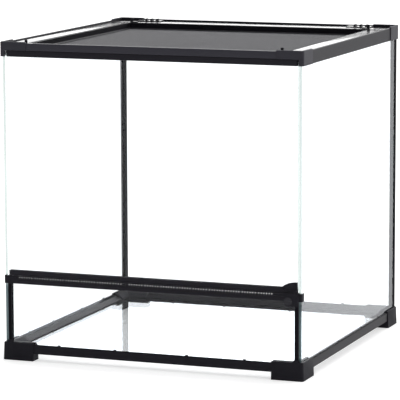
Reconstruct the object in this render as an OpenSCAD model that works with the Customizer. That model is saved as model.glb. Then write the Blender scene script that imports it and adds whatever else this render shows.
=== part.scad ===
// Glass reptile terrarium with a swinging front door, a perforated vent strip and a lift-out screen.
// Origin at the bottom centre, +Z up, the door faces -Y. All sizes are in millimetres.

/* [Case] */
// Width of the case over its corner caps
case_w = 450; // [350:10:600]
// Depth of the case over its corner caps
case_d = 450; // [350:10:600]
// Height from the table to the top of the corner caps
case_h = 455; // [300:5:700]

/* [Glass] */
// Thickness of every pane
glass_t = 4; // [3:0.5:4.5]
// How far the panes stand inside the outer faces of the corner caps
pane_inset = 3; // [2.8:0.1:3.4]
// Gap between a pane and each wall of its groove
pane_gap = 0.15; // [0.1:0.05:0.2]

/* [Feet and base rails] */
// Height of the corner feet
foot_h = 26; // [25:1:34]
// Length of each arm of a foot
foot_arm = 46; // [40:1:60]
// How much a foot flares out from its top to the table
foot_draft = 1; // [0.5:0.1:2]
// Radius of the upright corner edges of feet and caps
corner_r = 3; // [2.5:0.1:4]
// How far the tops of the base rails lie below the tops of the feet
rail_drop = 2; // [1.6:0.1:3]
// Height of the base rails
rail_h = 13.5; // [12:0.5:14.5]
// Width of the base rails, outer face to inner edge
rail_w = 16; // [14:0.5:20]

/* [Top frame] */
// Height of the outer face of the side and back top rails
top_rail_h = 19.5; // [18:0.5:24]
// Height of the front top rail, which leaves room for the door under it
front_fascia_h = 10.5; // [9:0.5:13]
// Distance from the caps' outer face to the inner edge of the side ledges
side_ledge = 30; // [26:1:36]
// Distance from the caps' outer face to the inner edge of the front ledge
front_ledge = 18; // [16:1:24]
// Distance from the caps' outer face to the inner edge of the back ledge
back_ledge = 46; // [42:1:60]
// Length of each arm of a corner cap
cap_arm = 40; // [34:1:50]
// How far a corner cap stands above the rails
cap_rise = 1.5; // [1.2:0.1:3]
// Width of the raised rim of a corner cap
cap_rim = 3; // [2:0.5:4]

/* [Front] */
// Height of the underside of the vent strip over the table
vent_z = 110.5; // [90:0.5:150]
// Height of the vent strip
vent_h = 11.4; // [11:0.2:14]
// Number of slots in one group of the vent strip
slots_per_group = 6; // [4:1:7]
// Distance from slot to slot
slot_pitch = 3.8; // [3.4:0.1:4.5]
// Width of one vent slot
slot_w = 1.7; // [1.4:0.1:2.4]
// Height of one vent slot
slot_h = 2.6; // [2:0.1:2.8]
// Height of the door's bottom rail
door_foot_h = 7.1; // [6.5:0.1:10]
// Height of the door's top rail
door_head_h = 8.5; // [7:0.5:10]
// Gap above and below the door
door_gap = 0.7; // [0.5:0.1:1.2]
// Distance of the hinge axis from the outer face of the side caps
hinge_inset = 14; // [13.5:0.1:16]
// Radius of the hinge pins
pin_r = 1.5; // [1:0.1:1.8]
// Width of the finger pull
pull_w = 22.8; // [18:0.2:30]
// Height of the finger pull above the door rail
pull_rise = 8; // [5:0.5:12]
// Radius of the lock knob
knob_r = 5.6; // [4.5:0.1:6.5]

/* [Screen] */
// Depth from the ledges to the seat of the screen
screen_depth = 11.5; // [9.5:0.5:12.5]
// Width of the flange that grips the mesh
screen_flange = 6; // [5.5:0.5:14]
// Number of mesh openings along each side
mesh_cells = 16; // [6:1:17]
// Width of a mesh wire
mesh_wire = 1.2; // [0.8:0.1:2]
// Length of a screen clip from its pivot
clip_len = 10; // [8:0.5:12]
// Travel of a cable inlet slider
inlet_travel = 28; // [20:1:34]

/* [Hidden] */

$fn = 48;
black = [0.14, 0.14, 0.15];
clear = [0.8, 0.92, 0.9, 0.35];
steel = [0.7, 0.7, 0.72];
wire_grey = [0.45, 0.45, 0.47];

// Distances named in, out or from are measured inwards from the outer faces of the caps.
touch = 0.1;
over = 1;
skin = 0.9;
rail_face = skin + touch;
slot_in = pane_inset - pane_gap;
slot_out = pane_inset + glass_t + pane_gap;
pane_back = pane_inset + glass_t;
edge_cut = 0.5;

// Heights of the base
base_top = foot_h - rail_drop;
rail_clear = base_top - rail_h;
floor_lip = 1.6;
floor_seat = rail_clear + floor_lip;
floor_top = floor_seat + glass_t;
pane_foot = rail_clear + 4;
groove_wall = 1.85;
floor_slot = slot_out + groove_wall;
rail_edge = rail_face + rail_w;
foot_post = rail_edge + 3;
foot_in = rail_edge + 1.2;
slope_lip = 1.2;
slope_foot = floor_top + pane_gap + slope_lip;
slope_top = base_top - 1.9;

// Heights of the top frame
rim_top = case_h - cap_rise;
rim_w = 2;
rim_rise = 2.2;
ledge_top = rim_top - rim_rise;
ledge_t = 2.5;
top_rail_z = rim_top - top_rail_h;
fascia_z = rim_top - front_fascia_h;
pane_groove_h = min(12, top_rail_h - 6);
pane_head = top_rail_z + pane_groove_h - 0.5;
screen_seat = ledge_top - screen_depth;
seat_t = 2;
seat_w = 6;

// Posts
post_out = 2;
post_lip = 2.6;
post_w = slot_out + post_lip - post_out;
post_slot_floor = slot_out + 0.7;
pane_end = post_slot_floor + pane_gap;
front_post_from = pane_back + touch;
front_post_w = 5.8;
front_post_back = slot_out + 1.45;
front_slot_from = front_post_from + 2.6;
front_pane_end = front_slot_from + pane_gap;

// Door
vent_top = vent_z + vent_h;
door_z0 = vent_top + door_gap;
door_z1 = fascia_z - door_gap + 0.1;
door_wall = 1.55;
door_face = slot_in - door_wall;
door_back = slot_out + door_wall;
door_mid = (door_face + door_back) / 2;
door_base = 3.5;
door_side_gap = 1.5;
door_end = pane_back + door_side_gap;
hinge_x = -case_w / 2 + hinge_inset;
hinge_y = -case_d / 2 + door_mid;
pin_fit = 0.05;
pin_engage = 3;
pin_root = 6;
vent_face = 1.4;
vent_back = 10.5;
vent_groove = 3.5;

// Finger pull
quarter_turn = 90;
pull_steps = 12;
pull_foot = 4.5;

// Lock
lock_setback = 21.5;
lock_x = case_w / 2 - lock_setback;
lock_z = vent_z + 0.3;
lock_wall = 0.8;
plate_r = 6.9;
lock_pocket = 1.95;
tongue_w = 5;
tongue_reach = door_z0 + 2.2 - lock_z;
tongue_sweep = sqrt(pow(tongue_reach, 2) - pow(door_z0 - lock_z, 2));
plate_top = vent_top + 0.4;
vent_end_w = 21;
vent_left = -case_w / 2 + vent_end_w;
vent_right = lock_x - plate_r;
stop_left = hinge_x + 16;

// Screen and its openings
screen_gap = 0.5;
screen_h = screen_depth - 0.3;
screen_wall = 3;
mesh_t = 0.6;
mesh_z = screen_seat + 1.2;
clip_in = 35;
clip_edge = 5;
clip_pin_r = 1.4;
clip_hub_r = 2.1;
clip_hub_h = 6;
clip_arm_w = 5;
clip_t = 1.2;
inlet_setback = 53;
inlet_w = 28;
inlet_near = 10.5;
inlet_far = 22.5;
slider_t = 1.2;
guide_w = 3;
guide_mid = (inlet_near + inlet_far) / 2;

module flip_x(on) {
    if (on) mirror([1, 0, 0]) children();
    else children();
}

module flip_y(on) {
    if (on) mirror([0, 1, 0]) children();
    else children();
}

// Draws its children as if at the front left corner, measured inwards, and puts them at any corner
module at_corner(sx, sy) {
    translate([sx * case_w / 2, sy * case_d / 2, 0])
        flip_x(sx > 0) flip_y(sy > 0) children();
}

// Extrudes a profile (distance in, height) along a side wall of the case
module side_run(side, from_y, to_y) {
    translate([side * case_w / 2, 0, 0]) flip_x(side > 0)
        translate([0, to_y, 0]) rotate([90, 0, 0]) linear_extrude(to_y - from_y) children();
}

// Extrudes a profile (distance in, height) along the front (-1) or back (1) wall of the case
module end_run(side, from_x, to_x) {
    translate([from_x, side * case_d / 2, 0]) flip_y(side > 0)
        rotate([90, 0, 90]) linear_extrude(to_x - from_x) children();
}

// A box given by its two corners
module block(low, high) {
    translate(low) cube(high - low);
}

// Base

module foot_outer() {
    taper = 1.2;
    top_r = corner_r - taper;
    slope_cover = 1.4;
    profile = [
        [-foot_draft, 0], [0, foot_h - taper], [taper, foot_h],
        [floor_slot + foot_in - rail_edge, foot_h], [foot_in, slope_foot + slope_cover], [foot_in, 0]
    ];
    translate([corner_r, 0, 0]) rotate([90, 0, 90]) linear_extrude(foot_arm - corner_r) polygon(profile);
    translate([0, foot_arm, 0]) rotate([90, 0, 0]) linear_extrude(foot_arm - corner_r) polygon(profile);
    translate([corner_r, corner_r, 0]) {
        cylinder(h = foot_h - taper, r1 = corner_r + foot_draft, r2 = corner_r);
        translate([0, 0, foot_h - taper]) cylinder(h = taper, r1 = corner_r, r2 = top_r);
    }
}

// Room for a rail end, its pane and the mould's core, along one arm of a foot
module foot_arm_cuts() {
    translate([foot_post - touch, 0, 0]) rotate([90, 0, 90]) linear_extrude(foot_arm + over - foot_post)
        polygon([
            [rail_face - touch, rail_clear - touch], [rail_face - touch, base_top + touch],
            [slot_out + touch, base_top + touch], [slot_out + touch, slope_top + touch],
            [rail_edge + touch, slope_foot + touch], [rail_edge + touch, rail_clear - touch]
        ]);
    block([slot_in, slot_in, pane_foot - touch], [foot_arm + over, slot_out, foot_h + over]);
    block([foot_post + 4, 3, -over], [foot_arm - 3, rail_edge - 3, rail_clear - 3.4]);
}

module foot(sx, sy) {
    color(black) at_corner(sx, sy) difference() {
        foot_outer();
        foot_arm_cuts();
        mirror([1, -1, 0]) foot_arm_cuts();
        block([floor_slot - touch, floor_slot - touch, floor_seat - touch],
            [foot_arm + over, foot_arm + over, floor_top + pane_gap + touch]);
    }
}

// A front foot also has a small boss that covers the foot of the front post
module front_foot(sx) {
    boss_h = 4;
    boss_w = front_post_w + 4;
    boss_from = front_post_from - 2;
    foot(sx, -1);
    color(black) at_corner(sx, -1)
        translate([boss_from, post_out - touch, foot_h - 1.4]) rotate([90, 0, 0]) linear_extrude(1)
            polygon([
                [0, 0], [0, boss_h - 1], [1.6, boss_h + 0.6],
                [boss_w - 1.6, boss_h + 0.6], [boss_w, boss_h - 1], [boss_w, 0]
            ]);
}

// A base rail has a groove for a wall pane on top and a slot for the floor pane under its inner slope
module base_profile() {
    lip_z = floor_top + pane_gap;
    polygon([
        [rail_face, rail_clear], [rail_face, base_top - edge_cut], [rail_face + edge_cut, base_top],
        [slot_in, base_top], [slot_in, pane_foot], [slot_out, pane_foot], [slot_out, slope_top],
        [rail_edge, slope_foot], [rail_edge, lip_z],
        [floor_slot, lip_z], [floor_slot, floor_seat], [rail_edge, floor_seat], [rail_edge, rail_clear]
    ]);
}

// Small retaining nubs that stand on the outer lip of a base rail
module rail_nubs(length) {
    nub = [4, 1, 1.9];
    sunk = 0.4;
    for (share = [-0.31, -0.12, 0.12, 0.31])
        translate([share * length - nub.x / 2, rail_face + edge_cut, base_top - sunk]) cube(nub);
}

module base_rail_x(side) {
    reach = case_w / 2 - foot_post;
    color(black) {
        end_run(side, -reach, reach) base_profile();
        translate([0, side * case_d / 2, 0]) flip_y(side > 0) rail_nubs(case_w);
    }
}

module base_rail_y(side) {
    reach = case_d / 2 - foot_post;
    color(black) {
        side_run(side, -reach, reach) base_profile();
        translate([side * case_w / 2, 0, 0]) flip_x(side > 0)
            mirror([1, -1, 0]) rail_nubs(case_d);
    }
}

// Panes

module floor_glass() {
    x = case_w / 2 - floor_slot - pane_gap;
    y = case_d / 2 - floor_slot - pane_gap;
    color(clear) block([-x, -y, floor_seat], [x, y, floor_top]);
}

module side_glass(side) {
    color(clear) translate([side * case_w / 2, 0, 0]) flip_x(side > 0)
        block([pane_inset, -case_d / 2 + pane_inset, pane_foot],
            [pane_back, case_d / 2 - pane_end, pane_head]);
}

module back_glass() {
    x = case_w / 2 - pane_end;
    color(clear) block([-x, case_d / 2 - pane_back, pane_foot], [x, case_d / 2 - pane_inset, pane_head]);
}

module front_low_glass() {
    x = case_w / 2 - front_pane_end;
    color(clear)
        block([-x, -case_d / 2 + pane_inset, pane_foot],
            [x, -case_d / 2 + pane_back, vent_z + vent_groove - touch]);
}

// Posts: extruded corner profiles with a groove for each pane

module back_post(side) {
    r = 2;
    far = post_out + post_w;
    color(black) at_corner(side, 1) translate([0, 0, foot_h]) linear_extrude(top_rail_z - foot_h)
        difference() {
            union() {
                translate([post_out + r, post_out]) square([post_w - r, post_w]);
                translate([post_out, post_out + r]) square([post_w, post_w - r]);
                translate([post_out + r, post_out + r]) circle(r);
            }
            translate([slot_in, post_slot_floor]) square([slot_out - slot_in, far]);
            translate([post_slot_floor, slot_in]) square([far, slot_out - slot_in]);
        }
}

module front_post(side) {
    color(black) at_corner(side, -1) translate([0, 0, foot_h]) linear_extrude(vent_z - foot_h)
        difference() {
            translate([front_post_from, post_out]) square([front_post_w, front_post_back - post_out]);
            translate([front_slot_from, slot_in]) square([front_post_w, slot_out - slot_in]);
        }
}

// Vent strip: a channel over the low pane, a thin perforated web, a top flange and a stop behind the door

module slanted_slot() {
    slant = 0.8;
    polygon([[0, 0], [slot_w, 0], [slot_w + slant, slot_h], [slant, slot_h]]);
}

module vent_strip() {
    length = vent_right - vent_left - 2 * touch;
    channel_h = 7;
    flange_t = 1.2;
    web_t = 3.4;
    web_inset = 0.8;
    rib = 1.2;
    plain_end = 7;
    stop_h = 2.4;
    stop_t = 1.1;
    group = slots_per_group * slot_pitch + rib;
    groups = floor((length - 2 * plain_end) / group);
    start = (length - groups * group) / 2 - 6;
    web_z = vent_z + channel_h;
    web_h = vent_h - channel_h - flange_t;
    color(black) {
        end_run(-1, vent_left + touch, vent_right - touch) polygon([
            [vent_face, vent_z], [vent_face, web_z], [vent_back, web_z], [vent_back, vent_z],
            [slot_out, vent_z], [slot_out, vent_z + vent_groove],
            [slot_in, vent_z + vent_groove], [slot_in, vent_z]
        ]);
        end_run(-1, vent_left + touch, vent_right - touch)
            translate([vent_face, web_z + web_h]) square([vent_back - vent_face, flange_t]);
        end_run(-1, stop_left, vent_right - touch)
            translate([vent_back - stop_t, vent_top - touch]) square([stop_t, stop_h + touch]);
        translate([vent_left + touch, -case_d / 2 + vent_face + web_inset + web_t, web_z]) rotate([90, 0, 0])
            linear_extrude(web_t) difference() {
                square([length, web_h]);
                for (g = [0 : groups - 1]) for (i = [0 : slots_per_group - 1])
                    translate([start + g * group + i * slot_pitch, (web_h - slot_h) / 2]) slanted_slot();
            }
    }
}

// End mouldings that clip the vent strip to the front edges of the side panes

module vent_end_body(sx, inner) {
    r = 1.5;
    far = pane_inset - 1.1;
    difference() {
        at_corner(sx, -1) translate([0, 0, vent_z]) linear_extrude(vent_h) union() {
            translate([far + r, vent_face]) square([inner - far - r, vent_back - vent_face]);
            translate([far, vent_face + r]) square([inner - far, vent_back - vent_face - r]);
            translate([far + r, vent_face + r]) circle(r);
        }
        at_corner(sx, -1) {
            block([slot_in, slot_in, vent_z - over], [slot_out, vent_back + over, vent_top + over]);
            block([front_slot_from, slot_in, vent_z - over], [inner + over, slot_out, vent_z + vent_groove]);
        }
    }
}

module vent_end_left() {
    color(black) difference() {
        vent_end_body(-1, vent_end_w);
        translate([hinge_x, hinge_y, vent_top - pin_root]) cylinder(h = pin_root + over, r = pin_r + pin_fit);
    }
}

// The right end also carries the lock plate, which hangs in front of the low pane
module vent_end_right() {
    plate_far = lock_x + 14.6;
    plate_w = plate_far - lock_x + plate_r;
    front = -case_d / 2;
    color(black) difference() {
        union() {
            vent_end_body(1, case_w / 2 - vent_right);
            translate([0, front + vent_face + touch, 0]) rotate([90, 0, 0])
                linear_extrude(vent_face + touch) union() {
                translate([lock_x, lock_z]) circle(plate_r);
                translate([lock_x - plate_r, lock_z]) square([plate_w, plate_top - lock_z]);
                translate([lock_x, lock_z - plate_r]) square([plate_far - lock_x, plate_r + 1]);
            }
        }
        translate([lock_x, front + lock_wall, lock_z]) rotate([-90, 0, 0])
            cylinder(h = lock_pocket - lock_wall, r = 4);
        block([lock_x - tongue_w / 2 - 0.5, front + lock_wall, lock_z],
            [lock_x + tongue_w / 2 + 0.5, front + lock_pocket, plate_top + over]);
        intersection() {
            translate([lock_x, front + lock_wall, lock_z]) rotate([-90, 0, 0])
                cylinder(h = lock_pocket - lock_wall, r = tongue_reach + 0.3);
            block([lock_x, front, lock_z - tongue_w / 2 - 0.5],
                [plate_far + over, front + vent_back, plate_top + over]);
        }
        translate([lock_x, front - over, lock_z]) rotate([-90, 0, 0])
            cylinder(h = lock_wall + 2 * over, r = 2 + pin_fit);
    }
}

// Lock: a round knob on a short spindle, and a flat tongue that turns up in front of the door rail

module lock_knob() {
    front = -case_d / 2;
    color(black) translate([lock_x, front, lock_z]) rotate([90, 0, 0]) {
        difference() {
            translate([0, 0, touch]) cylinder(h = 0.8, r = knob_r);
            translate([-knob_r, -0.6, 0.5]) cube([2 * knob_r, 1.2, 1]);
        }
        translate([0, 0, -lock_wall - touch]) cylinder(h = lock_wall + 3 * touch, r = 2);
    }
}

module lock_tongue() {
    front = -case_d / 2;
    inset = lock_wall + touch;
    color(steel) translate([0, front + inset + 0.8, 0]) rotate([90, 0, 0]) linear_extrude(0.8) union() {
        translate([lock_x, lock_z]) circle(tongue_w / 2);
        translate([lock_x, lock_z - tongue_w / 2]) square([tongue_reach - tongue_w / 2, tongue_w]);
        translate([lock_x + tongue_reach - tongue_w / 2, lock_z]) circle(tongue_w / 2);
    }
}

// Door

module door_glass() {
    x = case_w / 2 - pane_back - 1.2;
    color(clear) block([-x, -case_d / 2 + pane_inset, door_z0 + door_base],
        [x, -case_d / 2 + pane_back, door_z1 - door_base]);
}

// A rail with round ends, so that it clears the side panes while it turns
module door_bar(z, height) {
    half = (door_back - door_face) / 2;
    reach = case_w / 2 - door_end - half;
    translate([0, hinge_y, z]) linear_extrude(height) union() {
        translate([-reach, -half]) square([2 * reach, 2 * half]);
        translate([-reach, 0]) circle(half);
        translate([reach, 0]) circle(half);
    }
}

module door_bottom_rail() {
    front = -case_d / 2;
    color(black) difference() {
        door_bar(door_z0, door_foot_h);
        block([-case_w / 2, front + slot_in, door_z0 + door_base],
            [case_w / 2, front + slot_out, door_z0 + door_foot_h + over]);
        translate([hinge_x, hinge_y, door_z0 - over]) cylinder(h = pin_engage + over, r = pin_r + pin_fit);
        block([lock_x - tongue_w / 2 - 1, front, door_z0 - over],
            [lock_x + tongue_sweep + 0.4, front + 2, door_z0 + 2.7]);
    }
}

module door_top_rail() {
    front = -case_d / 2;
    color(black) difference() {
        door_bar(door_z1 - door_head_h, door_head_h);
        block([-case_w / 2, front + slot_in, door_z1 - door_head_h - over],
            [case_w / 2, front + slot_out, door_z1 - door_base]);
        translate([hinge_x, hinge_y, door_z1 - pin_engage])
            cylinder(h = pin_engage + over, r = pin_r + pin_fit);
    }
}

// Outline of the finger pull, a quarter of an ellipse that rises towards the free edge
function pull_outline(inset) = [
    for (step = [0 : pull_steps]) let(turn = step * quarter_turn / pull_steps)
        [-(pull_w - inset) * cos(turn), (door_foot_h - pull_foot + pull_rise - inset) * sin(turn)]
];

module door_pull() {
    right = case_w / 2 - door_end;
    base = door_z0 + pull_foot;
    front = -case_d / 2;
    rim = 1.6;
    full = concat([[-pull_w, -1.3]], pull_outline(0), [[0, -1.3]]);
    dish = concat(pull_outline(rim), [[-rim, pull_rise], [-rim, 0]]);
    color(black) difference() {
        translate([right, front + pane_inset - touch, base]) rotate([90, 0, 0])
            linear_extrude(pane_inset - touch + 0.8) polygon(full);
        block([right - pull_w - over, front + door_face - touch, base - 3],
            [right + over, front + pane_inset, door_z0 + door_foot_h + touch]);
        translate([right, front + 0.4, base]) rotate([90, 0, 0]) linear_extrude(2) intersection() {
            polygon(dish);
            translate([-pull_w, 0]) square([pull_w - rim, door_foot_h + pull_rise]);
        }
    }
}

module hinge_pin_bottom() {
    color(steel) translate([hinge_x, hinge_y, vent_top - pin_root + touch])
        cylinder(h = pin_root - touch + door_gap + pin_engage - 0.3, r = pin_r);
}

module hinge_pin_top() {
    head_z = fascia_z + 2;
    foot_z = door_z1 - pin_engage + 0.3;
    color(steel) {
        translate([hinge_x, hinge_y, foot_z]) cylinder(h = head_z - foot_z + 1, r = pin_r);
        translate([hinge_x, hinge_y, head_z]) cylinder(h = 1.2, r = pin_r + 0.6);
    }
}

// Top frame

module rim_and_ledge(edge, low) {
    polygon([
        [rail_face, low], [rail_face, rim_top - edge_cut], [rail_face + edge_cut, rim_top],
        [rail_face + rim_w, rim_top], [rail_face + rim_w, ledge_top], [edge, ledge_top],
        [edge, ledge_top - ledge_t], [slot_in, ledge_top - ledge_t], [slot_in, low]
    ]);
}

// Groove for the head of a pane
module head_groove() {
    groove_top = top_rail_z + pane_groove_h;
    translate([slot_out, top_rail_z]) square([groove_wall, ledge_top - ledge_t + touch - top_rail_z]);
    translate([slot_in - touch, groove_top])
        square([slot_out - slot_in + 2 * touch, ledge_top - ledge_t + touch - groove_top]);
}

// Upright wall of the recess
module recess_wall(edge) {
    translate([edge - ledge_t, screen_seat - seat_t])
        square([ledge_t, ledge_top - screen_seat + seat_t - touch]);
}

module screen_seat_bar(edge) {
    translate([edge - over, screen_seat - seat_t]) square([seat_w + over, seat_t]);
}

module pane_top_profile(edge) {
    rim_and_ledge(edge, top_rail_z);
    head_groove();
}

module top_rail_side(side) {
    from_y = -case_d / 2 + front_ledge + touch;
    to_y = case_d / 2 - back_ledge - touch;
    color(black) {
        side_run(side, from_y, to_y) pane_top_profile(side_ledge);
        side_run(side, from_y, to_y) recess_wall(side_ledge);
        side_run(side, from_y, to_y) screen_seat_bar(side_ledge);
    }
}

// Cut that rounds the upright outer edge of the rails under a cap
module corner_trim(sx, sy) {
    r = corner_r - rail_face;
    at_corner(sx, sy) difference() {
        block([-over, -over, top_rail_z - over], [corner_r, corner_r, rim_top + over]);
        translate([corner_r, corner_r, top_rail_z - 2 * over]) cylinder(h = top_rail_h + 4 * over, r = r);
    }
}

// Slot for the head of a side pane at the end of a front or back rail
module pane_head_slot(sx, sy, reach) {
    at_corner(sx, sy) block([slot_in, slot_in, top_rail_z - over],
        [slot_out, reach + over, top_rail_z + pane_groove_h]);
}

// Bore for the pivot of a screen clip
module clip_bore(sx, sy, edge) {
    at_corner(sx, sy) translate([clip_in, edge - clip_edge, ledge_top - ledge_t - over])
        cylinder(h = ledge_t + 2 * over, r = clip_pin_r + pin_fit);
}

module top_rail_front() {
    reach = case_w / 2 - rail_face;
    seat_reach = case_w / 2 - side_ledge - seat_w - touch;
    wall = 1.5;
    hollow_z = fascia_z + 2;
    head_z = top_rail_z + pane_groove_h;
    front = -case_d / 2;
    color(black) difference() {
        union() {
            end_run(-1, -reach, reach) difference() {
                union() {
                    rim_and_ledge(front_ledge, fascia_z);
                    translate([rail_face + edge_cut, fascia_z])
                        square([front_ledge - rail_face - edge_cut, ledge_top - fascia_z - touch]);
                }
                translate([rail_face + wall, hollow_z])
                    square([front_ledge - rail_face - wall - ledge_t, ledge_top - ledge_t - hollow_z]);
            }
            end_run(-1, -seat_reach, seat_reach) {
                screen_seat_bar(front_ledge);
                recess_wall(front_ledge);
            }
            for (side = [-1, 1])
                side_run(side, front + slot_in + touch, front + front_ledge) {
                    rim_and_ledge(slot_out + groove_wall, top_rail_z);
                    translate([slot_in - touch, head_z])
                        square([slot_out + groove_wall - slot_in, ledge_top - ledge_t + touch - head_z]);
                }
            block([stop_left, front + door_back + 0.7, top_rail_z],
                [case_w / 2 - slot_out - 4, front + door_back + 2.5, fascia_z + touch]);
        }
        for (sx = [-1, 1]) {
            pane_head_slot(sx, -1, front_ledge);
            corner_trim(sx, -1);
            clip_bore(sx, -1, front_ledge);
        }
        translate([hinge_x, hinge_y, fascia_z - over]) cylinder(h = 2 + 2 * over, r = pin_r + pin_fit);
    }
}

module inlet_hole(side) {
    low = ledge_top - ledge_t - over;
    high = ledge_top + over;
    from = inlet_setback - inlet_w / 2;
    to = inlet_setback + inlet_w / 2;
    at_corner(side, 1) {
        block([from, inlet_near, low], [to, inlet_far, high]);
        block([to - over, guide_mid - guide_w / 2, low],
            [to + inlet_travel + 8, guide_mid + guide_w / 2, high]);
    }
}

module top_rail_back() {
    reach = case_w / 2 - rail_face;
    wall_reach = case_w / 2 - side_ledge + ledge_t;
    seat_reach = case_w / 2 - side_ledge - seat_w - touch;
    color(black) difference() {
        union() {
            end_run(1, -reach, reach) pane_top_profile(back_ledge);
            end_run(1, -wall_reach, wall_reach) recess_wall(back_ledge);
            end_run(1, -seat_reach, seat_reach) screen_seat_bar(back_ledge);
            for (side = [-1, 1])
                side_run(side, case_d / 2 - back_ledge, case_d / 2 - rail_face)
                    pane_top_profile(slot_out + groove_wall);
        }
        for (sx = [-1, 1]) {
            inlet_hole(sx);
            pane_head_slot(sx, 1, back_ledge);
            at_corner(sx, 1) mirror([1, -1, 0]) block([slot_in, slot_in, top_rail_z - over],
                [slot_out, back_ledge + over, top_rail_z + pane_groove_h]);
            corner_trim(sx, 1);
            clip_bore(sx, 1, back_ledge);
        }
    }
}

// Corner caps: L-shaped clips over the rail ends

module cap_profile() {
    polygon([
        [0, top_rail_z], [0, case_h - 0.8], [0.8, case_h], [cap_rim, case_h], [cap_rim, rim_top + touch],
        [skin, rim_top + touch], [skin, top_rail_z]
    ]);
}

module cap_shell() {
    translate([corner_r, 0, 0]) rotate([90, 0, 90]) linear_extrude(cap_arm - corner_r) cap_profile();
    translate([0, cap_arm, 0]) rotate([90, 0, 0]) linear_extrude(cap_arm - corner_r) cap_profile();
    translate([corner_r, corner_r, 0]) rotate([0, 0, 180]) rotate_extrude(angle = 90) intersection() {
        translate([corner_r, 0]) mirror([1, 0]) cap_profile();
        translate([0, top_rail_z - over]) square([corner_r + over, top_rail_h + 10]);
    }
}

// Wedge that slants the end of a cap's raised rim down to the rail
module rim_ramp() {
    translate([0, cap_rim + over, 0]) rotate([90, 0, 0]) linear_extrude(cap_rim + 2 * over) polygon([
        [cap_arm - cap_rise, case_h], [cap_arm - cap_rise, case_h + over],
        [cap_arm + over, case_h + over], [cap_arm + over, rim_top - over]
    ]);
}

module cap_body() {
    difference() {
        cap_shell();
        rim_ramp();
        mirror([1, -1, 0]) rim_ramp();
    }
}

module cap(sx, sy) {
    color(black) at_corner(sx, sy) cap_body();
}

// A front cap is cut back under its front arm, where the door's top rail lies, and closes the pane's edge
module front_cap(sx) {
    color(black) at_corner(sx, -1) {
        difference() {
            cap_body();
            block([pane_back, -over, top_rail_z - over], [cap_arm + over, corner_r, fascia_z - touch]);
        }
        block([corner_r, skin - touch, top_rail_z], [pane_back, slot_in, fascia_z - touch]);
    }
}

// Screen lid

module screen_outline(inset) {
    x = case_w / 2 - side_ledge - screen_gap - inset;
    y0 = -case_d / 2 + front_ledge + screen_gap + inset;
    y1 = case_d / 2 - back_ledge - screen_gap - inset;
    translate([-x, y0]) square([2 * x, y1 - y0]);
}

module screen_frame() {
    flange_h = 3;
    grip = screen_flange - 3;
    color(black) difference() {
        translate([0, 0, screen_seat + touch]) linear_extrude(screen_h - touch) screen_outline(0);
        translate([0, 0, screen_seat + flange_h]) linear_extrude(screen_h) screen_outline(screen_wall);
        translate([0, 0, screen_seat - over]) linear_extrude(screen_h) screen_outline(screen_flange);
        translate([0, 0, mesh_z - touch]) linear_extrude(mesh_t + 2 * touch) screen_outline(grip - touch);
    }
}

module screen_mesh() {
    inset = screen_flange - 3;
    x = case_w / 2 - side_ledge - screen_gap - inset;
    y0 = -case_d / 2 + front_ledge + screen_gap + inset;
    y1 = case_d / 2 - back_ledge - screen_gap - inset;
    edge = 3;
    cell_x = (2 * x - 2 * edge) / mesh_cells;
    cell_y = (y1 - y0 - 2 * edge) / mesh_cells;
    color(wire_grey) translate([0, 0, mesh_z]) linear_extrude(mesh_t) difference() {
        screen_outline(inset);
        for (i = [0 : mesh_cells - 1]) for (j = [0 : mesh_cells - 1])
            translate([-x + edge + i * cell_x + mesh_wire / 2, y0 + edge + j * cell_y + mesh_wire / 2])
                square([cell_x - mesh_wire, cell_y - mesh_wire]);
    }
}

// Turning clips on the ledges, parked beside the screen

module clip(sx, sy, edge) {
    end_r = clip_arm_w / 2;
    color(black) at_corner(sx, sy) translate([clip_in, edge - clip_edge, 0]) {
        translate([0, 0, ledge_top + touch]) cylinder(h = clip_hub_h, r = clip_hub_r);
        translate([0, 0, ledge_top + touch]) linear_extrude(clip_t) union() {
            circle(end_r);
            translate([0, -end_r]) square([clip_len - end_r, clip_arm_w]);
            translate([clip_len - end_r, 0]) circle(end_r);
        }
        translate([0, 0, ledge_top - ledge_t - touch]) cylinder(h = ledge_t + 3 * touch, r = clip_pin_r);
        translate([0, 0, ledge_top - ledge_t - 1]) cylinder(h = 1 - touch, r = clip_pin_r + 1);
    }
}

// Cable inlet sliders with three round grips, held by a foot in a guide slot

module inlet_slider(side) {
    plate_z = ledge_top + touch;
    from = inlet_setback - inlet_w / 2 - 2;
    to = inlet_setback + inlet_w / 2 + 8;
    near = inlet_near - 4;
    far = inlet_far + 2;
    grip_r = 2.2;
    grip_len = 6;
    grip_z = case_h - touch - grip_r;
    stem_from = inlet_setback + inlet_w / 2 + 1;
    color(black) at_corner(side, 1) {
        block([from, near, plate_z], [to, far, plate_z + slider_t]);
        intersection() {
            for (i = [-1, 0, 1])
                translate([(from + to) / 2 + 9 * i, near + 0.4, grip_z]) rotate([-90, 0, 0])
                    cylinder(h = grip_len, r = grip_r);
            block([from, near, plate_z + touch], [to, far, case_h]);
        }
        block([stem_from, guide_mid - guide_w / 2 + 0.3, ledge_top - ledge_t - 1.2],
            [stem_from + 5, guide_mid + guide_w / 2 - 0.3, plate_z + touch]);
        block([stem_from, guide_mid - guide_w / 2 - 1.2, ledge_top - ledge_t - 1.3],
            [stem_from + 5, guide_mid + guide_w / 2 + 1.2, ledge_top - ledge_t - 0.3]);
    }
}

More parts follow.
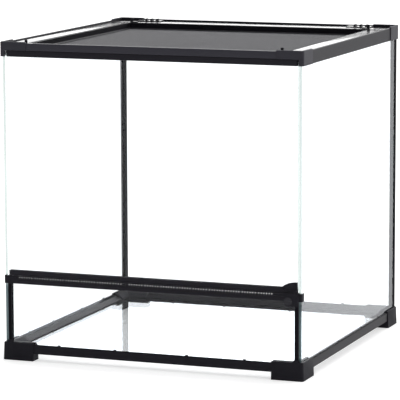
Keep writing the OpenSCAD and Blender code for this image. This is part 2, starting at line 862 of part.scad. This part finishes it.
front_foot(-1);  // foot_front_left
front_foot(1);  // foot_front_right
foot(-1, 1);  // foot_back_left
foot(1, 1);  // foot_back_right
base_rail_x(-1);  // base_rail_front
base_rail_x(1);  // base_rail_back
base_rail_y(-1);  // base_rail_left
base_rail_y(1);  // base_rail_right
floor_glass();
side_glass(-1);  // side_glass_left
side_glass(1);  // side_glass_right
back_glass();
front_low_glass();
back_post(-1);  // back_post_left
back_post(1);  // back_post_right
front_post(-1);  // front_post_left
front_post(1);  // front_post_right
vent_strip();
vent_end_left();
vent_end_right();
lock_knob();
lock_tongue();
door_glass();
door_bottom_rail();
door_top_rail();
door_pull();
hinge_pin_bottom();
hinge_pin_top();
top_rail_front();
top_rail_back();
top_rail_side(-1);  // top_rail_left
top_rail_side(1);  // top_rail_right
front_cap(-1);  // cap_front_left
front_cap(1);  // cap_front_right
cap(-1, 1);  // cap_back_left
cap(1, 1);  // cap_back_right
screen_frame();
screen_mesh();
clip(-1, -1, front_ledge);  // clip_front_left
clip(1, -1, front_ledge);  // clip_front_right
clip(-1, 1, back_ledge);  // clip_back_left
clip(1, 1, back_ledge);  // clip_back_right
inlet_slider(-1);  // inlet_slider_left
inlet_slider(1);  // inlet_slider_right
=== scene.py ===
from math import cos, radians, sin

import bmesh
import bpy
from mathutils import Matrix, Vector


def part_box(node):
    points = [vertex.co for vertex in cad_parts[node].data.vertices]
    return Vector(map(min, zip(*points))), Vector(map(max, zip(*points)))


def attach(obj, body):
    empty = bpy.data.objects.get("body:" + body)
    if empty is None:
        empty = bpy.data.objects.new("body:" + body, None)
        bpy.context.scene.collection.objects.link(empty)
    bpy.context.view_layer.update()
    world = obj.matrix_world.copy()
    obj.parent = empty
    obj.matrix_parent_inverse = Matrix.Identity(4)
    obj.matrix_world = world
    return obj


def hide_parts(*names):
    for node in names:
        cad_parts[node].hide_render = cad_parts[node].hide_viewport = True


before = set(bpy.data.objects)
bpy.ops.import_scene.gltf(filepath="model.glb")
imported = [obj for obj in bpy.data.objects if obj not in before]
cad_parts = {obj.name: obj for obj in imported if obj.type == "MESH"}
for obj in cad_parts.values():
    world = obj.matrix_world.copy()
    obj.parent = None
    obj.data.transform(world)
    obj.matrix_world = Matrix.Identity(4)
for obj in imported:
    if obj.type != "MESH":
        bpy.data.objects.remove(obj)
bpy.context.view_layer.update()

# Corner feet: four black injection-moulded blocks that the base rails and the panes plug into.
# The plastic has a fine spark-eroded grain and is a little cloudy; its edges are shinier, with a painted
# highlight.
# A moulding's skins are, in order: its body, its rounded edges, its level faces and its topmost rim.
CLOUD_SCALE = 22
CLOUD_DETAIL = 6
CLOUD_DARK, CLOUD_LIGHT = 0.35, 0.7
SHINIER, DULLER = 0.05, 0.07
GRAIN_SCALE = 2600
GRAIN_DEPTH = 0.00006
VIOLET = (0.94, 0.92, 1.0, 1)
SAME_POINT = 1e-6
FLAT_ANGLE = radians(1)
SHARP_ANGLE = radians(30)
SMOOTH_ANGLE = radians(20)
SHORT_EDGE = 0.0015
LEVEL_NORMAL = 0.9
LEVEL_AREA = 3e-5
RIM_DEPTH = 0.0008
FOOT_ROUND = 0.0005


def fill(tree, node, inputs):
    for name, value in inputs.items():
        if isinstance(value, bpy.types.NodeSocket):
            tree.links.new(value, node.inputs[name])
        else:
            node.inputs[name].default_value = value


def add(tree, kind, inputs, **settings):
    node = tree.nodes.new("ShaderNode" + kind)
    for name, value in settings.items():
        setattr(node, name, value)
    fill(tree, node, inputs)
    return node


def noise(tree, vector, scale, detail=2):
    return add(tree, "TexNoise", {"Vector": vector, "Scale": scale, "Detail": detail}).outputs["Fac"]


def remap(tree, value, low, high, start=0, end=1, interpolation="LINEAR"):
    inputs = {"Value": value, "From Min": start, "From Max": end, "To Min": low, "To Max": high}
    return add(tree, "MapRange", inputs, interpolation_type=interpolation).outputs["Result"]


def ramp(tree, value, stops, interpolation="LINEAR"):
    node = add(tree, "ValToRGB", {"Fac": value})
    node.color_ramp.interpolation = interpolation
    marks = node.color_ramp.elements
    marks[-1].position = stops[-1][0]
    marks[0].position = stops[0][0]
    for at, colour in stops[1:-1]:
        marks.new(at)
    for mark, (at, colour) in zip(marks, stops):
        mark.color = (*colour, 1)
    return node.outputs["Color"]


def new_material(name):
    mat = bpy.data.materials.new(name)
    mat.use_nodes = True
    tree = mat.node_tree
    place = add(tree, "TexCoord", {}).outputs["Object"]
    return mat, tree, place


def black_plastic(name, dark, light, rough, grain, level, stretch=(1, 1, 1)):
    mat, tree, place = new_material(name)
    along = add(tree, "Mapping", {"Vector": place, "Scale": stretch}).outputs["Vector"]
    cloud = noise(tree, along, CLOUD_SCALE, CLOUD_DETAIL)
    pits = noise(tree, along, GRAIN_SCALE)
    bump = add(tree, "Bump", {"Height": pits, "Strength": grain, "Distance": GRAIN_DEPTH})
    skin = {
        "Base Color": ramp(tree, cloud, ((CLOUD_DARK, dark), (CLOUD_LIGHT, light))),
        "Roughness": remap(tree, cloud, rough - SHINIER, rough + DULLER),
        "Normal": bump.outputs["Normal"],
        "Specular IOR Level": level,
        "Specular Tint": VIOLET,
    }
    fill(tree, tree.nodes["Principled BSDF"], skin)
    return mat


def new_object(name, work, skins):
    mesh = bpy.data.meshes.new(name)
    work.to_mesh(mesh)
    work.free()
    for skin in skins:
        mesh.materials.append(skin)
    piece = bpy.data.objects.new(name, mesh)
    bpy.context.scene.collection.objects.link(piece)
    return piece


def moulding(node, body, skins, rounding, shortest=SHORT_EDGE):
    work = bmesh.new()
    work.from_mesh(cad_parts[node].data)
    bmesh.ops.remove_doubles(work, verts=work.verts, dist=SAME_POINT)
    bmesh.ops.dissolve_limit(
        work, angle_limit=FLAT_ANGLE, verts=work.verts, edges=work.edges, delimit={"NORMAL"}
    )
    sharp = [
        edge
        for edge in work.edges
        if len(edge.link_faces) == 2
        and edge.calc_face_angle() > SHARP_ANGLE
        and edge.calc_length() > shortest
    ]
    made = bmesh.ops.bevel(
        work,
        geom=sharp,
        offset=rounding,
        offset_type="OFFSET",
        affect="EDGES",
        segments=2,
        profile=0.5,
        material=-1,
        clamp_overlap=True,
    )
    rim = max(vert.co.z for vert in work.verts) - RIM_DEPTH
    for face in work.faces:
        face.smooth = True
        face.material_index = 0
        if len(skins) > 2 and face.normal.z > LEVEL_NORMAL and face.calc_area() > LEVEL_AREA:
            face.material_index = 2 if face.calc_center_median().z < rim else 3
    for face in made["faces"]:
        face.material_index = 1
    for edge in work.edges:
        edge.smooth = len(edge.link_faces) == 2 and edge.calc_face_angle() < SMOOTH_ANGLE
    piece = new_object(node + "_moulding", work, skins)
    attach(piece, body)
    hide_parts(node)


moulded_black = black_plastic(
    "moulded_black", (0.0155, 0.0150, 0.0190), (0.0215, 0.0207, 0.0262), rough=0.6, grain=0.25, level=0.08
)
dull_black = black_plastic(
    "dull_black", (0.0060, 0.0056, 0.0075), (0.0095, 0.0090, 0.0120), rough=0.7, grain=0.12, level=0.06
)
slope_black = black_plastic(
    "slope_black", (0.0085, 0.0080, 0.0115), (0.0130, 0.0123, 0.0170), rough=0.42, grain=0.3, level=0.2
)
# Painted highlight: the rounded edges' skin is shinier and a lighter black than most of the bodies it edges.
edge_painted_highlight = black_plastic(
    "edge_painted_highlight", (0.016, 0.016, 0.018), (0.026, 0.026, 0.029), rough=0.34, grain=0.1, level=0.4
)
foot_skins = (moulded_black, edge_painted_highlight, slope_black, dull_black)
for node in ("foot_front_left", "foot_front_right", "foot_back_left", "foot_back_right"):
    moulding(node, "frame", foot_skins, FOOT_ROUND)

# Base rails: four black extruded plastic channels between the feet, cut to length and sloped on the inside.
# Drawing through the die leaves faint lines along them and a slightly shinier skin.
DIE_LINES = 0.02
RAIL_ROUND = 0.0004
LONG_EDGE = 0.006
extruded_x = black_plastic(
    "extruded_along_x",
    (0.0132, 0.0127, 0.0165),
    (0.0190, 0.0182, 0.0235),
    rough=0.5,
    grain=0.3,
    level=0.12,
    stretch=(DIE_LINES, 1, 1),
)
extruded_y = black_plastic(
    "extruded_along_y",
    (0.0085, 0.0080, 0.0115),
    (0.0130, 0.0123, 0.0170),
    rough=0.42,
    grain=0.3,
    level=0.1,
    stretch=(1, DIE_LINES, 1),
)
for node, skin, inside in (
    ("base_rail_front", extruded_x, dull_black),
    ("base_rail_back", extruded_x, dull_black),
    ("base_rail_left", extruded_y, slope_black),
    ("base_rail_right", extruded_y, slope_black),
):
    moulding(node, "frame", (skin, dull_black, inside, dull_black), RAIL_ROUND, LONG_EDGE)

# Floor, side, back and low front panes: clear float glass, 4 mm thick, with a faint mirror of the room.
# The edges are green, painted light above the vent strip and shade below it; from inside they show what lies
# behind.
# Each pane is cut as a plate and its twelve sharp edges are ground off.
SEAM = 0.0004
FACE_NORMAL = 0.99
MIRROR_LEAST = 0.012
MIRROR_POWER = 5
CLEAR_TINT = (0.985, 0.99, 0.992, 1)
MIRROR_TINT = (0.95, 0.97, 1, 1)
FILM_SCALE = 9
FILM_DETAIL = 5
FILM_FROM, FILM_TO = 0.45, 0.8
FILM_ROUGH = 0.05
SHADE_PAINTED_BELOW, LIGHT_PAINTED_ABOVE = 0.104, 0.122
EDGE_PAINTED_SHADE, EDGE_PAINTED_LIGHT = (0.040, 0.070, 0.080, 1), (0.52, 0.61, 0.59, 1)
THROUGH_PAINTED_SHADE, THROUGH_PAINTED_LIGHT = (0.30, 0.40, 0.42, 1), (0.86, 0.93, 0.91, 1)
SOLID_PAINTED_SHADE, SOLID_PAINTED_LIGHT = 0.80, 0.50
GRIND_SCALE = 140
GRIND_SMOOTH, GRIND_ROUGH = 0.2, 0.45


def calculate(tree, operation, *values, clamp=False):
    inputs = dict(enumerate(values))
    return add(tree, "Math", inputs, operation=operation, use_clamp=clamp).outputs["Value"]


def blend(tree, kind, factor, first, second):
    inputs = {"Factor": factor, "A": first, "B": second}
    return add(tree, "Mix", inputs, data_type=kind).outputs["Result"]


def mix_surface(tree, factor, first, second):
    both = add(tree, "MixShader", {"Fac": factor, 1: first, 2: second})
    fill(tree, tree.nodes["Material Output"], {"Surface": both.outputs["Shader"]})


def clear_face():
    mat, tree, place = new_material("clear_glass_face")
    tree.nodes.remove(tree.nodes["Principled BSDF"])
    facing = add(tree, "LayerWeight", {"Blend": 0.5}).outputs["Facing"]
    mirror = remap(tree, calculate(tree, "POWER", facing, MIRROR_POWER), MIRROR_LEAST, 1)
    smears = noise(tree, place, FILM_SCALE, FILM_DETAIL)
    film = remap(tree, smears, 0, FILM_ROUGH, FILM_FROM, FILM_TO)
    through = add(tree, "BsdfTransparent", {"Color": CLEAR_TINT})
    shine = add(tree, "BsdfGlossy", {"Color": MIRROR_TINT, "Roughness": film})
    mix_surface(tree, mirror, through.outputs["BSDF"], shine.outputs["BSDF"])
    return mat


def green_edge():
    mat, tree, place = new_material("green_glass_edge")
    height = add(tree, "SeparateXYZ", {"Vector": place}).outputs["Z"]
    # Painted light and shade by height: the edge is pale and clear above the vent strip, dark and more solid
    # below, where the posts back the glass.
    above = remap(tree, height, 0, 1, SHADE_PAINTED_BELOW, LIGHT_PAINTED_ABOVE, "SMOOTHSTEP")
    skin = tree.nodes["Principled BSDF"]
    ground = {
        "Base Color": blend(tree, "RGBA", above, EDGE_PAINTED_SHADE, EDGE_PAINTED_LIGHT),
        "Roughness": remap(tree, noise(tree, place, GRIND_SCALE), GRIND_SMOOTH, GRIND_ROUGH),
    }
    fill(tree, skin, ground)
    tint = blend(tree, "RGBA", above, THROUGH_PAINTED_SHADE, THROUGH_PAINTED_LIGHT)
    through = add(tree, "BsdfTransparent", {"Color": tint})
    solid = remap(tree, above, SOLID_PAINTED_SHADE, SOLID_PAINTED_LIGHT)
    inner_side = add(tree, "NewGeometry", {}).outputs["Backfacing"]
    cover = calculate(tree, "MULTIPLY", solid, calculate(tree, "SUBTRACT", 1, inner_side))
    mix_surface(tree, cover, through.outputs["BSDF"], skin.outputs["BSDF"])
    return mat


glass_face = clear_face()
glass_edge = green_edge()


def pane(node, body):
    low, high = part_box(node)
    size = high - low
    thin = min(range(3), key=lambda i: size[i])
    plate = bmesh.new()
    bmesh.ops.create_cube(plate, size=1)
    bmesh.ops.scale(plate, vec=size, verts=plate.verts)
    bmesh.ops.translate(plate, vec=(low + high) / 2, verts=plate.verts)
    bmesh.ops.bevel(
        plate,
        geom=plate.edges[:],
        offset=SEAM,
        offset_type="OFFSET",
        affect="EDGES",
        segments=1,
        profile=0.5,
        material=-1,
    )
    for face in plate.faces:
        face.material_index = 0 if abs(face.normal[thin]) > FACE_NORMAL else 1
    piece = new_object(node + "_plate", plate, (glass_face, glass_edge))
    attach(piece, body)
    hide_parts(node)


for node in ("floor_glass", "side_glass_left", "side_glass_right", "back_glass", "front_low_glass"):
    pane(node, "frame")

# Posts: two slotted black extrusions that hold the side and back panes, and two short ones at the front.
# Their skin is duller than that of the rails.
for node in ("back_post_left", "back_post_right", "front_post_left", "front_post_right"):
    moulding(node, "frame", (dull_black, edge_painted_highlight), RAIL_ROUND)

# Vent strip: a black strip with slanted slots in groups of six under the door, clipped to the side panes
# by an end at each side. The right end carries the lock plate.
VENT_ROUND = 0.0003
VENT_EDGE = 0.003
moulding("vent_strip", "frame", (extruded_x, edge_painted_highlight), RAIL_ROUND, LONG_EDGE)
for node in ("vent_end_left", "vent_end_right"):
    moulding(node, "frame", (moulded_black, edge_painted_highlight), VENT_ROUND, VENT_EDGE)

# Lock: a small black turning knob, a little paler than its plate, and a stamped steel tongue behind it.
# The steel is plain and finely scratched.
KNOB_ROUND, KNOB_EDGE = 0.00025, 0.0006
STEEL_ROUND = 0.00015
TONGUE_EDGE = 0.0003
SCRATCH_SCALE = 900
STEEL_SMOOTH, STEEL_ROUGH = 0.2, 0.4
STEEL_GREY = (0.56, 0.56, 0.58, 1)
knob_black = black_plastic(
    "knob_black", (0.020, 0.020, 0.024), (0.027, 0.027, 0.032), rough=0.45, grain=0.15, level=0.25
)
moulding("lock_knob", "lock", (knob_black, edge_painted_highlight), KNOB_ROUND, KNOB_EDGE)


def plain_steel():
    mat, tree, place = new_material("plain_steel")
    skin = {
        "Base Color": STEEL_GREY,
        "Metallic": 1,
        "Roughness": remap(tree, noise(tree, place, SCRATCH_SCALE), STEEL_SMOOTH, STEEL_ROUGH),
    }
    fill(tree, tree.nodes["Principled BSDF"], skin)
    return mat


steel = plain_steel()
moulding("lock_tongue", "lock", (steel, steel), STEEL_ROUND, TONGUE_EDGE)

# Door: the same glass between a bottom and a top rail, with a moulded finger pull at its free end.
# It hangs on two turned steel pins, which stay in the frame.
PULL_ROUND, PULL_EDGE = 0.0003, 0.0008
PIN_EDGE = 0.0002
pane("door_glass", "door")
for node in ("door_bottom_rail", "door_top_rail"):
    moulding(node, "door", (extruded_x, edge_painted_highlight), RAIL_ROUND, LONG_EDGE)
moulding("door_pull", "door", (moulded_black, edge_painted_highlight), PULL_ROUND, PULL_EDGE)
for node in ("hinge_pin_bottom", "hinge_pin_top"):
    moulding(node, "frame", (steel, steel), STEEL_ROUND, PIN_EDGE)

# Top frame: four black rails with flat ledges round the lid, joined by four moulded caps.
# The ledges are polished by the die, and mirror the room at a low angle; the rims round them are dull.
# The front rail and the caps are a paler black than the others, and the front rail's rim is polished too.
CAP_ROUND, CAP_EDGE = 0.0003, 0.001
ledge_gloss = black_plastic(
    "ledge_gloss", (0.0080, 0.0078, 0.0090), (0.0120, 0.0118, 0.0135), rough=0.12, grain=0.03, level=0.5
)
fascia_black = black_plastic(
    "fascia_black",
    (0.032, 0.031, 0.040),
    (0.041, 0.040, 0.051),
    rough=0.42,
    grain=0.3,
    level=0.25,
    stretch=(DIE_LINES, 1, 1),
)
for node, skin, rim in (
    ("top_rail_front", fascia_black, ledge_gloss),
    ("top_rail_back", extruded_x, dull_black),
    ("top_rail_left", extruded_y, dull_black),
    ("top_rail_right", extruded_y, dull_black),
):
    moulding(node, "frame", (skin, edge_painted_highlight, ledge_gloss, rim), RAIL_ROUND, LONG_EDGE)
cap_black = black_plastic(
    "cap_black", (0.031, 0.030, 0.038), (0.041, 0.040, 0.050), rough=0.55, grain=0.25, level=0.2
)
for node in ("cap_front_left", "cap_front_right", "cap_back_left", "cap_back_right"):
    moulding(node, "frame", (cap_black, edge_painted_highlight), CAP_ROUND, CAP_EDGE)

# Lid: a black frame that holds a fine wire cloth. The wires are dark coated steel, about 1.5 mm apart,
# in two layers that touch. It lies where the CAD's coarse net lies.
WIRE_PITCH = 0.0015
WIRE_RADIUS = 0.00022
WIRE_SIDES = 5
LAYER_OFFSET = 0.8 * WIRE_RADIUS
COAT_SCALE = 60
COAT_TONES = ((0, (0.060, 0.060, 0.067)), (1, (0.090, 0.090, 0.098)))
COAT_ROUGH, COAT_SHINE = 0.3, 0.9
moulding("screen_frame", "screen", (dull_black, edge_painted_highlight), RAIL_ROUND, LONG_EDGE)


def coated_wire():
    mat, tree, place = new_material("coated_wire")
    skin = {
        "Base Color": ramp(tree, noise(tree, place, COAT_SCALE), COAT_TONES),
        "Roughness": COAT_ROUGH,
        "Specular IOR Level": COAT_SHINE,
    }
    fill(tree, tree.nodes["Principled BSDF"], skin)
    return mat


def wire_cloth():
    low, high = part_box("screen_mesh")
    middle = (low + high) / 2
    cloth = bmesh.new()
    for along, across, axis, offset in ((0, 1, "Y", LAYER_OFFSET), (1, 0, "X", -LAYER_OFFSET)):
        count = int((high[across] - low[across]) / WIRE_PITCH) + 1
        first = middle[across] - WIRE_PITCH * (count - 1) / 2
        for number in range(count):
            wire = bmesh.ops.create_cone(
                cloth,
                cap_ends=True,
                segments=WIRE_SIDES,
                radius1=WIRE_RADIUS,
                radius2=WIRE_RADIUS,
                depth=high[along] - low[along],
                matrix=Matrix.Rotation(radians(90), 4, axis),
            )["verts"]
            place = Vector(middle)
            place[across] = first + WIRE_PITCH * number
            place[2] += offset
            bmesh.ops.translate(cloth, vec=place, verts=wire)
    piece = new_object("wire_cloth", cloth, (coated_wire(),))
    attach(piece, "screen")
    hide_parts("screen_mesh")


wire_cloth()

# Lid clips and cable-inlet sliders: small black mouldings on the ledges.
# Their flat tops are polished like the ledges, and their knobs and grips are dull.
CLIP_ROUND, CLIP_EDGE = 0.0002, 0.0002
SLIDER_EDGE = 0.001
small_skins = (moulded_black, edge_painted_highlight, ledge_gloss, dull_black)
for corner in ("front_left", "front_right", "back_left", "back_right"):
    moulding("clip_" + corner, "lid_clip_" + corner, small_skins, CLIP_ROUND, CLIP_EDGE)
for side in ("left", "right"):
    moulding("inlet_slider_" + side, "slider_" + side, small_skins, CLIP_ROUND, SLIDER_EDGE)

# Studio: a white floor that keeps the case's soft shadow, in a white room that is darker at the front.
# A low bright backdrop behind the case, which the eye doesn't see, shows in the ledges, wires and slopes.
# To the eye the floor and the room are plain white.
FLOOR_HALF = 9
FLOOR_GREY = (0.8, 0.8, 0.8, 1)
WHITE = (1, 1, 1, 1)
GLOW_NEAR, GLOW_FAR = 0.5, 0.75
GLOW_FROM, GLOW_TO = 0.35, 1.8
ROOM_LEVEL = 0.5
ROOM_LEAN = (0.2, 0.15, 0.1)
BACKDROP = ((0.02, 0), (0.07, 1), (0.40, 1), (0.60, 0))
BACKDROP_LEVEL = 1.9
BACKDROP_WIDTH = 1.5
GLASS_LAYERS = 32
LAMP_PLACE = Vector((0, 0.1, 2.6))
LAMP_SIDE = 1.0
LAMP_POWER = 30


def studio_floor():
    mat, tree, place = new_material("studio_floor")
    path = add(tree, "LightPath", {})
    seen = path.outputs["Is Camera Ray"]
    for ray in ("Is Glossy Ray", "Is Transmission Ray"):
        seen = calculate(tree, "MAXIMUM", seen, path.outputs[ray])
    away = add(tree, "VectorMath", {0: place}, operation="LENGTH").outputs["Value"]
    glow = remap(tree, away, GLOW_NEAR, GLOW_FAR, GLOW_FROM, GLOW_TO, "SMOOTHSTEP")
    skin = {
        "Base Color": FLOOR_GREY,
        "Roughness": 1,
        "Specular IOR Level": 0,
        "Emission Color": WHITE,
        "Emission Strength": calculate(tree, "MULTIPLY", seen, glow),
    }
    fill(tree, tree.nodes["Principled BSDF"], skin)
    ground = bmesh.new()
    bmesh.ops.create_grid(ground, x_segments=1, y_segments=1, size=FLOOR_HALF)
    new_object("studio_floor", ground, (mat,))


def studio_room():
    world = bpy.data.worlds.new("studio_room")
    bpy.context.scene.world = world
    world.use_nodes = True
    tree = world.node_tree
    way = add(tree, "TexCoord", {}).outputs["Generated"]
    lean = add(tree, "VectorMath", {0: way, 1: ROOM_LEAN}, operation="DOT_PRODUCT").outputs["Value"]
    plain = calculate(tree, "ADD", lean, ROOM_LEVEL)
    parts = add(tree, "SeparateXYZ", {"Vector": way})
    stops = [(at, (grey, grey, grey)) for at, grey in BACKDROP]
    strip = ramp(tree, parts.outputs["Z"], stops, "EASE")
    behind = calculate(tree, "MULTIPLY", parts.outputs["Y"], BACKDROP_WIDTH, clamp=True)
    backdrop = calculate(tree, "MULTIPLY", strip, behind)
    mirrored = calculate(tree, "MULTIPLY_ADD", backdrop, BACKDROP_LEVEL, plain)
    eye = add(tree, "LightPath", {}).outputs["Is Camera Ray"]
    light = {"Color": WHITE, "Strength": blend(tree, "FLOAT", eye, mirrored, 1)}
    fill(tree, tree.nodes["Background"], light)


def softbox():
    lamp = bpy.data.lights.new("top_softbox", "AREA")
    lamp.shape = "RECTANGLE"
    lamp.size = LAMP_SIDE
    lamp.size_y = LAMP_SIDE
    lamp.energy = LAMP_POWER
    holder = bpy.data.objects.new("top_softbox", lamp)
    bpy.context.scene.collection.objects.link(holder)
    holder.location = LAMP_PLACE
    holder.rotation_euler = (-LAMP_PLACE).to_track_quat("-Z", "Y").to_euler()
    holder.visible_camera = False


bpy.context.scene.view_settings.view_transform = "Standard"
bpy.context.scene.cycles.transparent_max_bounces = GLASS_LAYERS
studio_floor()
studio_room()
softbox()

# Camera: a long lens at the photograph's angle, a little above the lid on the right of the door.
# Its place is written in sides of the case, from the middle of the case.
YAW, PITCH, ROLL = 0.36057, 0.14756, -0.00296
LENS = 243.70
SENSOR = 36
CASE_SIDE = 0.45
CASE_MIDDLE = Vector((0, 0, 0.2275))
DISTANCE = 8.81183 * CASE_SIDE
SIDE_STEP, UP_STEP = -0.01999 * CASE_SIDE, -0.03938 * CASE_SIDE
SIGHT_END = 60


def camera():
    forward = Vector((-sin(YAW) * cos(PITCH), cos(YAW) * cos(PITCH), -sin(PITCH)))
    right = Vector((cos(YAW), sin(YAW), 0))
    up = right.cross(forward)
    eye = CASE_MIDDLE + right * SIDE_STEP + up * UP_STEP - forward * DISTANCE
    across = right * cos(ROLL) + up * sin(ROLL)
    upward = up * cos(ROLL) - right * sin(ROLL)
    data = bpy.data.cameras.new("camera")
    data.lens = LENS
    data.sensor_width = SENSOR
    data.clip_end = SIGHT_END
    holder = bpy.data.objects.new("camera", data)
    bpy.context.scene.collection.objects.link(holder)
    turn = Matrix((across, upward, -forward)).transposed().to_4x4()
    holder.matrix_world = Matrix.Translation(eye) @ turn
    bpy.context.scene.camera = holder


camera()
